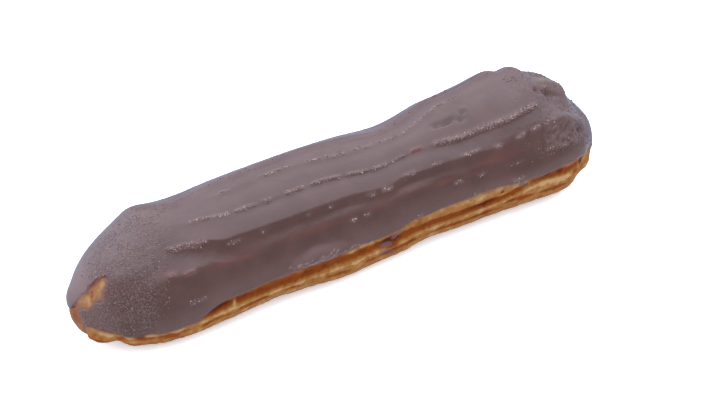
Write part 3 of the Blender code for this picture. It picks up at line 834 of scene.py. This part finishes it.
def piped_relief(x, number):
    """Ridges with rounded flutes between them, each deepest towards its upper side."""
    flute = np.clip(np.floor(number), 0, len(FLUTE_DEPTHS) - 1).astype(int)
    rounder = ramp(x, *CREASED)
    lean = mix(1.0, np.take(FLUTE_LEANS, flute), rounder)
    lean = mix(lean, EVEN_LEAN, (flute == EVEN_FLUTE) * ramp(x, *EVENED))
    share = np.clip(number - flute, 0.0, 1.0) ** lean
    uneven = 1.0 + FLUTE_UNEVEN * grain(along_only(x, 6.0) + flute[:, None] * 9.0, 9.0, 12)
    shallower = ramp(x, *SHALLOWER)
    crest = np.interp(number, range(len(CREST_HEIGHTS)), CREST_HEIGHTS)
    crest = crest + BEAD_FOOT * shallower * np.clip(1.0 - np.abs(number - BEAD_RIDGE), 0.0, 1.0)
    profile = mix(np.sin(np.pi * share), (1.0 - np.cos(2.0 * np.pi * share)) / 2.0, rounder)
    hollow = np.take(FLUTE_DEPTHS, flute) * uneven * profile
    hollow = hollow * (1.0 - SHALLOWER_BY * (flute == EVEN_FLUTE) * shallower)
    return (crest - hollow) * ramp(x, *RIDGES_START) * (1.0 - ramp(x, *RIDGES_STOP))


def crumbly_lines(x, angle):
    """Strength of the crumbly lines under the runs of crumbs."""
    crumbly = np.zeros_like(x)
    for ridge, first, last, share, drop in CRUMB_RUNS:
        within = between(x, first, last, *STRETCH_FADES)
        beside = angle - along(x, RIDGE_LINES[ridge]) + drop
        strength = min(share, CRUMBLY_LIMIT) * within * bell(beside, 0.0, CRUMBLY_SPREAD)
        crumbly = np.maximum(crumbly, strength)
    return crumbly


def flaky_patch(x, angle, points):
    """Strength of the flaky patch, which has a ragged outline."""
    x = x + 0.8 * grain(points, 2.0, 31)
    angle = angle + 3.0 * grain(points, 2.0, 32)
    left, right, low, high = FLAKY_LIMITS
    flaky = ramp(x, *left) * (1.0 - ramp(x, *right))
    return flaky * ramp(angle, *low) * (1.0 - ramp(angle, *high))


def crack_lines(x, angle, points):
    """Strength of the cracks, whose paths are made jagged."""
    jagged = 0.9 * grain(points, 1.5, 16)
    crackle = np.zeros_like(x)
    for path in CRACKS:
        millimetres = [(place, degrees * DEGREE) for place, degrees in path]
        distance = path_distance(x + jagged, angle * DEGREE + 0.7 * jagged, millimetres)
        crackle = np.maximum(crackle, 1.0 - ramp(distance, *CRACK_EDGES))
    return crackle


def painted_sheen_places(x, below_top, from_rim, stippled):
    """Strength of the painted sheen. below_top is how far under the swelling's upper edge a place lies.
    """
    reach = mix(*PAINTED_SHEEN_REACH, ramp(x, *PAINTED_SHEEN_NARROWS))
    thin = (1.0 - ramp(from_rim, 0.5, reach)) * (1.0 - stippled)
    thin = np.maximum(thin, PAINTED_SHEEN_AT_TIP * ramp(-x, *PAINTED_SHEEN_TIP))
    swelling = PAINTED_SHEEN_ON_SWELLING * ramp(below_top, 0.0, 1.5) * ramp(x, *PAINTED_SHEEN_LEFT)
    return np.maximum(thin, swelling * (1.0 - ramp(x, *PAINTED_SHEEN_RIGHT)))


def icing_outside(x, angle):
    """Points of the icing's outer face, with the marks that its finish reads."""
    points = surface(x, angle, 0.0)
    number = ridge_number(x, angle)
    from_rim = from_edge(x, angle)
    stippled = ramp(along(angle, STIPPLE_EDGE) - x, *STIPPLE_FADE) * (1.0 - ramp(angle, *STIPPLE_TOP))
    crusty = ramp(x, *CRUSTY_LEFT) * ramp(angle, *CRUSTY_FOOT)
    crusty = crusty * (1.0 - CRUSTY_LOSS * ramp(angle, *CRUSTY_TOP))
    rough = np.maximum(stippled, crusty)
    crumbly = crumbly_lines(x, angle)
    bead = between(x, *BEAD_RANGE, *BEAD_FADES) * bell(number, *BEAD_LINE)
    flaky = flaky_patch(x, angle, points)
    bark = grain(points, 1.0, 33)
    flakes = flaky * (FLAKY_HEIGHT + FLAKE_RELIEF * bark)
    crackle = crack_lines(x, angle, points)
    fine = mix(0.04, 0.07, rough) * grain(points, 0.7, 14)
    fine = fine + mix(0.03, 0.13, crusty) * grain(points, 1.9, 15)
    fine = fine * mix(1.0, 0.3, ramp(np.abs(x), 57.0, 66.0))
    wandering = number + 0.16 * grain(points, 8.0, 40) * (1.0 - ramp(number, 1.2, 1.8))
    relief = lumps(x, angle) + swellings(x, angle, DENTS) + piped_relief(x, wandering)
    relief += BEAD_HEIGHT * bead * (1.0 + 0.5 * grain(points, 1.0, 17)) + CRUMBLY_HEIGHT * crumbly
    relief += 0.1 * grain(points, 9.0, 13) + fine + CRACK_HEIGHT * crackle + flakes
    below_top = along(x, SWELLING_EDGE) - angle
    inside = ramp(below_top, 0.0, SWELLING_RISE) * ramp(x, *SWELLING_LEFT)
    relief += SWELLING_HEIGHT * inside * mix(0.2, 1.0, ramp(from_rim, 0.0, 1.8))
    lip = 1.0 - np.sqrt(1.0 - (1.0 - np.clip(from_rim / LIP_WIDTH, 0.0, 1.0)) ** 2)
    opened = ramp(inlet_reach(points), -0.3, 0.7)
    depth = mix(LIP_SINK * lip - relief, 1.0 - lumps(x, angle), opened)
    pale = np.clip(0.7 * bead + 0.5 * crumbly + flaky * (0.16 + 0.6 * bark), 0.0, 1.0)
    # The mark thin holds a painted sheen near the lip, at the left tip and over the swelling.
    marks = {"rough": rough, "crusty": crusty, "pale": pale, "crackle": crackle,
             "thin": painted_sheen_places(x, below_top, from_rim, stippled),
             "blush": swellings(x, angle, BLUSHES), "tan": swellings(x, angle, TAN_RIM)}
    return surface(x, angle, depth), marks


def icing_shape(row, column):
    """Outer face from the near rim over the top to the far one, then the inner wall back."""
    x = icing_x[row]
    outside = column < len(icing_ridges)
    forth = icing_ridges[np.minimum(column, len(icing_ridges) - 1)]
    back = np.clip(1.0 - (column - len(icing_ridges)) / (ICING_WALL_COLUMNS - 1), 0.0, 1.0)
    angle = column_angle(x, np.where(outside, forth, RIDGE_SPANS * back))
    outer, marks = icing_outside(x, angle)
    thickness = mix(LIP_SINK, ICING_THICKNESS, ramp(from_edge(x, angle), 0.0, 4.0))
    inner = surface(x, angle, thickness - LUMPS_INSIDE * lumps(x, angle))
    return np.where(outside[:, None], outer, inner), marks


CHOCOLATE = (0.062, 0.0215, 0.0165)
CHOCOLATE_DEEP = (0.052, 0.0165, 0.0125)
CHOCOLATE_PALE = (0.15, 0.088, 0.083)
CHOCOLATE_RED = (0.125, 0.024, 0.018)
CRACKLE_PALE = (0.19, 0.125, 0.11)
RIM_TAN = (0.13, 0.085, 0.045)
SPECK_STRENGTH = 0.24
# Marks that colour the chocolate: name, strength and colour.
TINTS = (
    # The mark thin is a painted sheen.
    ("thin", 0.25, CHOCOLATE_PALE),
    ("blush", 0.6, CHOCOLATE_RED),
    ("pale", 0.8, CHOCOLATE_PALE),
    ("tan", 0.7, RIM_TAN),
    ("crackle", 0.8, CRACKLE_PALE),
)
ICING_ROUGHNESS = 0.43
CRUSTY_ROUGHNESS = 0.13
HAZE = 0.2
HAZE_ROUGHNESS = 0.32
HAZE_BLUE = (0.35, 0.6, 1.0)
ICING_PORES = (0.45, 0.03)


def icing_finish():
    """Chocolate set dull: brown with paler specks, reddish thin places, cracks, a painted sheen and a
    blue haze.
    """
    icing = Finish("chocolate_icing")
    color = icing.blend(icing.step(icing.grain(6.0, 2.0), 0.35, 0.65), CHOCOLATE, CHOCOLATE_DEEP)
    mottled = icing.step(icing.grain(0.38, 3.0, 0.4), 0.42, 0.66) * icing.mark("rough")
    color = icing.blend(mottled * SPECK_STRENGTH, color, CHOCOLATE_PALE)
    for mark, strength, tint in TINTS:
        color = icing.blend(icing.mark(mark) * strength, color, tint)
    roughness = ICING_ROUGHNESS + CRUSTY_ROUGHNESS * icing.mark("crusty")
    size, height = ICING_PORES
    pores = icing.bump(icing.grain(size, 3.0, 0.6), height)
    icing.paint(base_color=color, roughness=roughness, normal=pores,
                sheen_weight=HAZE, sheen_roughness=HAZE_ROUGHNESS, sheen_tint=(*HAZE_BLUE, 1.0))
    return icing.material


icing = wrapped_sheet("icing_coat", ICING_ROWS, len(icing_ridges) + ICING_WALL_COLUMNS, icing_shape)
icing.data.materials.append(icing_finish())
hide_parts("icing")
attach(icing, "root")

# The crumbs: grains of set chocolate that stand up from the icing, where it crept over the
# bun's crust. They line the ridges and the inlet's upper edge, cover the raised bead and
# stipple both rough ends. They are redder where the icing is reddish.
CRUMB_SEED = 11
CRUMB_SPACING = 0.17
# The stipple on the left end: tries, radii, paleness, limits, how it fades out, where the tip
# stays smooth and where the crumbs are finer and paler, a painted highlight from above.
STIPPLE_TRIES = 17000
STIPPLE_SIZES = (0.07, 0.19)
STIPPLE_PALENESS = (0.22, 0.6)
STIPPLE_LAST = -43.0
STIPPLE_ANGLES = (-4.0, 122.0)
STIPPLE_SPREADS = (-3.0, 4.5)
STIPPLE_THINS = (96.0, 122.0)
SMOOTH_TIP = (65.5, 70.0)
SMOOTH_ANGLES = (55.0, 75.0)
FINER_AND_HIGHLIGHT_ANGLES = (50.0, 80.0)
# The crusty right end in the same way.
CRUST_TRIES = 1400
CRUST_SIZES = (0.1, 0.24)
CRUST_PALENESS = (0.25, 0.55)
CRUST_PLACES = (44.0, 71.0)
CRUST_ANGLES = (20.0, 118.0)
CRUST_THICKENS = (43.0, 56.0)
# The bead's crumbs, and how many degrees under its ridge line they lie and scatter.
BEAD_CRUMBS = 700
BEAD_SIZES = (0.1, 0.22)
BEAD_PALENESS = (0.15, 0.8)
BEAD_DROP = 1.3
BEAD_SCATTER = 1.2
RUN_SIZES = (0.08, 0.23)
RUN_SCATTER = 0.9
BLUSH_DARKENS = 0.6
CRUMB_UNEVEN = (0.65, 1.25)
CRUMB_STRETCH = (0.55, 1.55)
random_draw = np.random.default_rng(CRUMB_SEED)


def crumb_rows(x, angle, sizes, paleness):
    """Places, angles, sizes and paleness of some crumbs."""
    count = len(x)
    return np.stack([x, angle, random_draw.uniform(*sizes, count), random_draw.uniform(*paleness, count)])


def crumb_places():
    """Places, angles, sizes and paleness of all the crumbs."""
    left_rows = icing_x[icing_x < STIPPLE_LAST]
    row = random_draw.uniform(0.0, len(left_rows) - 1.0, STIPPLE_TRIES)
    x = np.interp(row, range(len(left_rows)), left_rows)
    angle = random_draw.uniform(*STIPPLE_ANGLES, STIPPLE_TRIES)
    points = surface(x, angle, 0.0)
    wanted = ramp(along(angle, STIPPLE_EDGE) - x, *STIPPLE_SPREADS) * (1.0 - ramp(angle, *STIPPLE_THINS))
    wanted = wanted * section(x)[0] / HALF_WIDTH * (0.75 + grain(points, 4.0, 18))
    wanted = wanted * (1.0 - ramp(-x, *SMOOTH_TIP) * ramp(angle, *SMOOTH_ANGLES))
    keep = (random_draw.uniform(0.0, 1.0, STIPPLE_TRIES) < wanted) & (inlet_reach(points) < -0.5)
    top = ramp(angle, *FINER_AND_HIGHLIGHT_ANGLES)
    size = random_draw.uniform(*STIPPLE_SIZES, STIPPLE_TRIES) * (1.0 - 0.2 * top)
    # Crumbs on top are painted paler, a painted highlight.
    pale = random_draw.uniform(*STIPPLE_PALENESS, STIPPLE_TRIES) + 0.1 * top
    stipple = np.stack([x, angle, size, pale])[:, keep]
    x = random_draw.uniform(*CRUST_PLACES, CRUST_TRIES)
    angle = random_draw.uniform(*CRUST_ANGLES, CRUST_TRIES)
    points = surface(x, angle, 0.0)
    wanted = ramp(x, *CRUST_THICKENS) * section(x)[0] / HALF_WIDTH * (0.4 + 1.5 * grain(points, 4.0, 19))
    keep = random_draw.uniform(0.0, 1.0, CRUST_TRIES) < wanted
    crusty = crumb_rows(x, angle, CRUST_SIZES, CRUST_PALENESS)[:, keep]
    x = random_draw.uniform(*BEAD_RANGE, BEAD_CRUMBS)
    angle = along(x, RIDGE_LINES[BEAD_RIDGE]) - BEAD_DROP + random_draw.normal(0.0, BEAD_SCATTER, len(x))
    bead = crumb_rows(x, angle, BEAD_SIZES, BEAD_PALENESS)
    runs = []
    for ridge, first, last, share, drop in CRUMB_RUNS:
        count = round((last - first) / CRUMB_SPACING * share)
        x = random_draw.uniform(first, last, count)
        angle = along(x, RIDGE_LINES[ridge]) - drop + random_draw.normal(0.0, RUN_SCATTER, count)
        blush = np.clip(swellings(x, angle, BLUSHES), 0.0, 1.0)
        pale = random_draw.uniform(0.0, 1.0, count) * (1.0 - BLUSH_DARKENS * blush)
        runs.append(np.stack([x, angle, random_draw.uniform(*RUN_SIZES, count), pale]))
    return np.concatenate([stipple, crusty, bead] + runs, axis=1)


def crumb_mesh(name, x, angle, radius, pale):
    """One mesh of small uneven grains, half sunk in the icing."""
    grain_shape = bmesh.new()
    bmesh.ops.create_icosphere(grain_shape, subdivisions=1, radius=1.0)
    corners = np.array([corner.co for corner in grain_shape.verts])
    sides = np.array([[corner.index for corner in side.verts] for side in grain_shape.faces])
    grain_shape.free()
    centres, _ = icing_outside(x, angle)
    uneven = random_draw.uniform(*CRUMB_UNEVEN, (len(x), len(corners), 1))
    stretched = random_draw.uniform(*CRUMB_STRETCH, (len(x), 1, 3))
    points = centres[:, None, :] + corners[None] * uneven * stretched * radius[:, None, None]
    faces = sides[None] + (np.arange(len(x)) * len(corners))[:, None, None]
    mesh = bpy.data.meshes.new(name)
    mesh.from_pydata((points * MM).reshape(-1, 3), [], faces.reshape(-1, 3).tolist())
    mesh.attributes.new("pale", "FLOAT", "POINT").data.foreach_set("value", np.repeat(pale, len(corners)))
    return smooth_object(mesh)


CRUMB_RED = (0.15, 0.055, 0.05)
CRUMB_BROWN = (0.1, 0.055, 0.05)
CRUMB_PALE = (0.29, 0.185, 0.168)
# Paleness over which each colour turns into the next.
CRUMB_TURNS = ((0.12, 0.25, CRUMB_BROWN), (0.25, 1.0, CRUMB_PALE))
CRUMB_ROUGHNESS = 0.6
CRUMB_SPECULAR = 0.4


def crumb_finish():
    """Dull chocolate grains: most are brown, and some reddish or pale."""
    crumb = Finish("chocolate_crumbs")
    color = crumb.turn(crumb.mark("pale"), CRUMB_RED, CRUMB_TURNS)
    crumb.paint(base_color=color, roughness=CRUMB_ROUGHNESS, specular_ior_level=CRUMB_SPECULAR)
    return crumb.material


crumbs = crumb_mesh("icing_crumbs", *crumb_places())
crumbs.data.materials.append(crumb_finish())
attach(crumbs, "root")
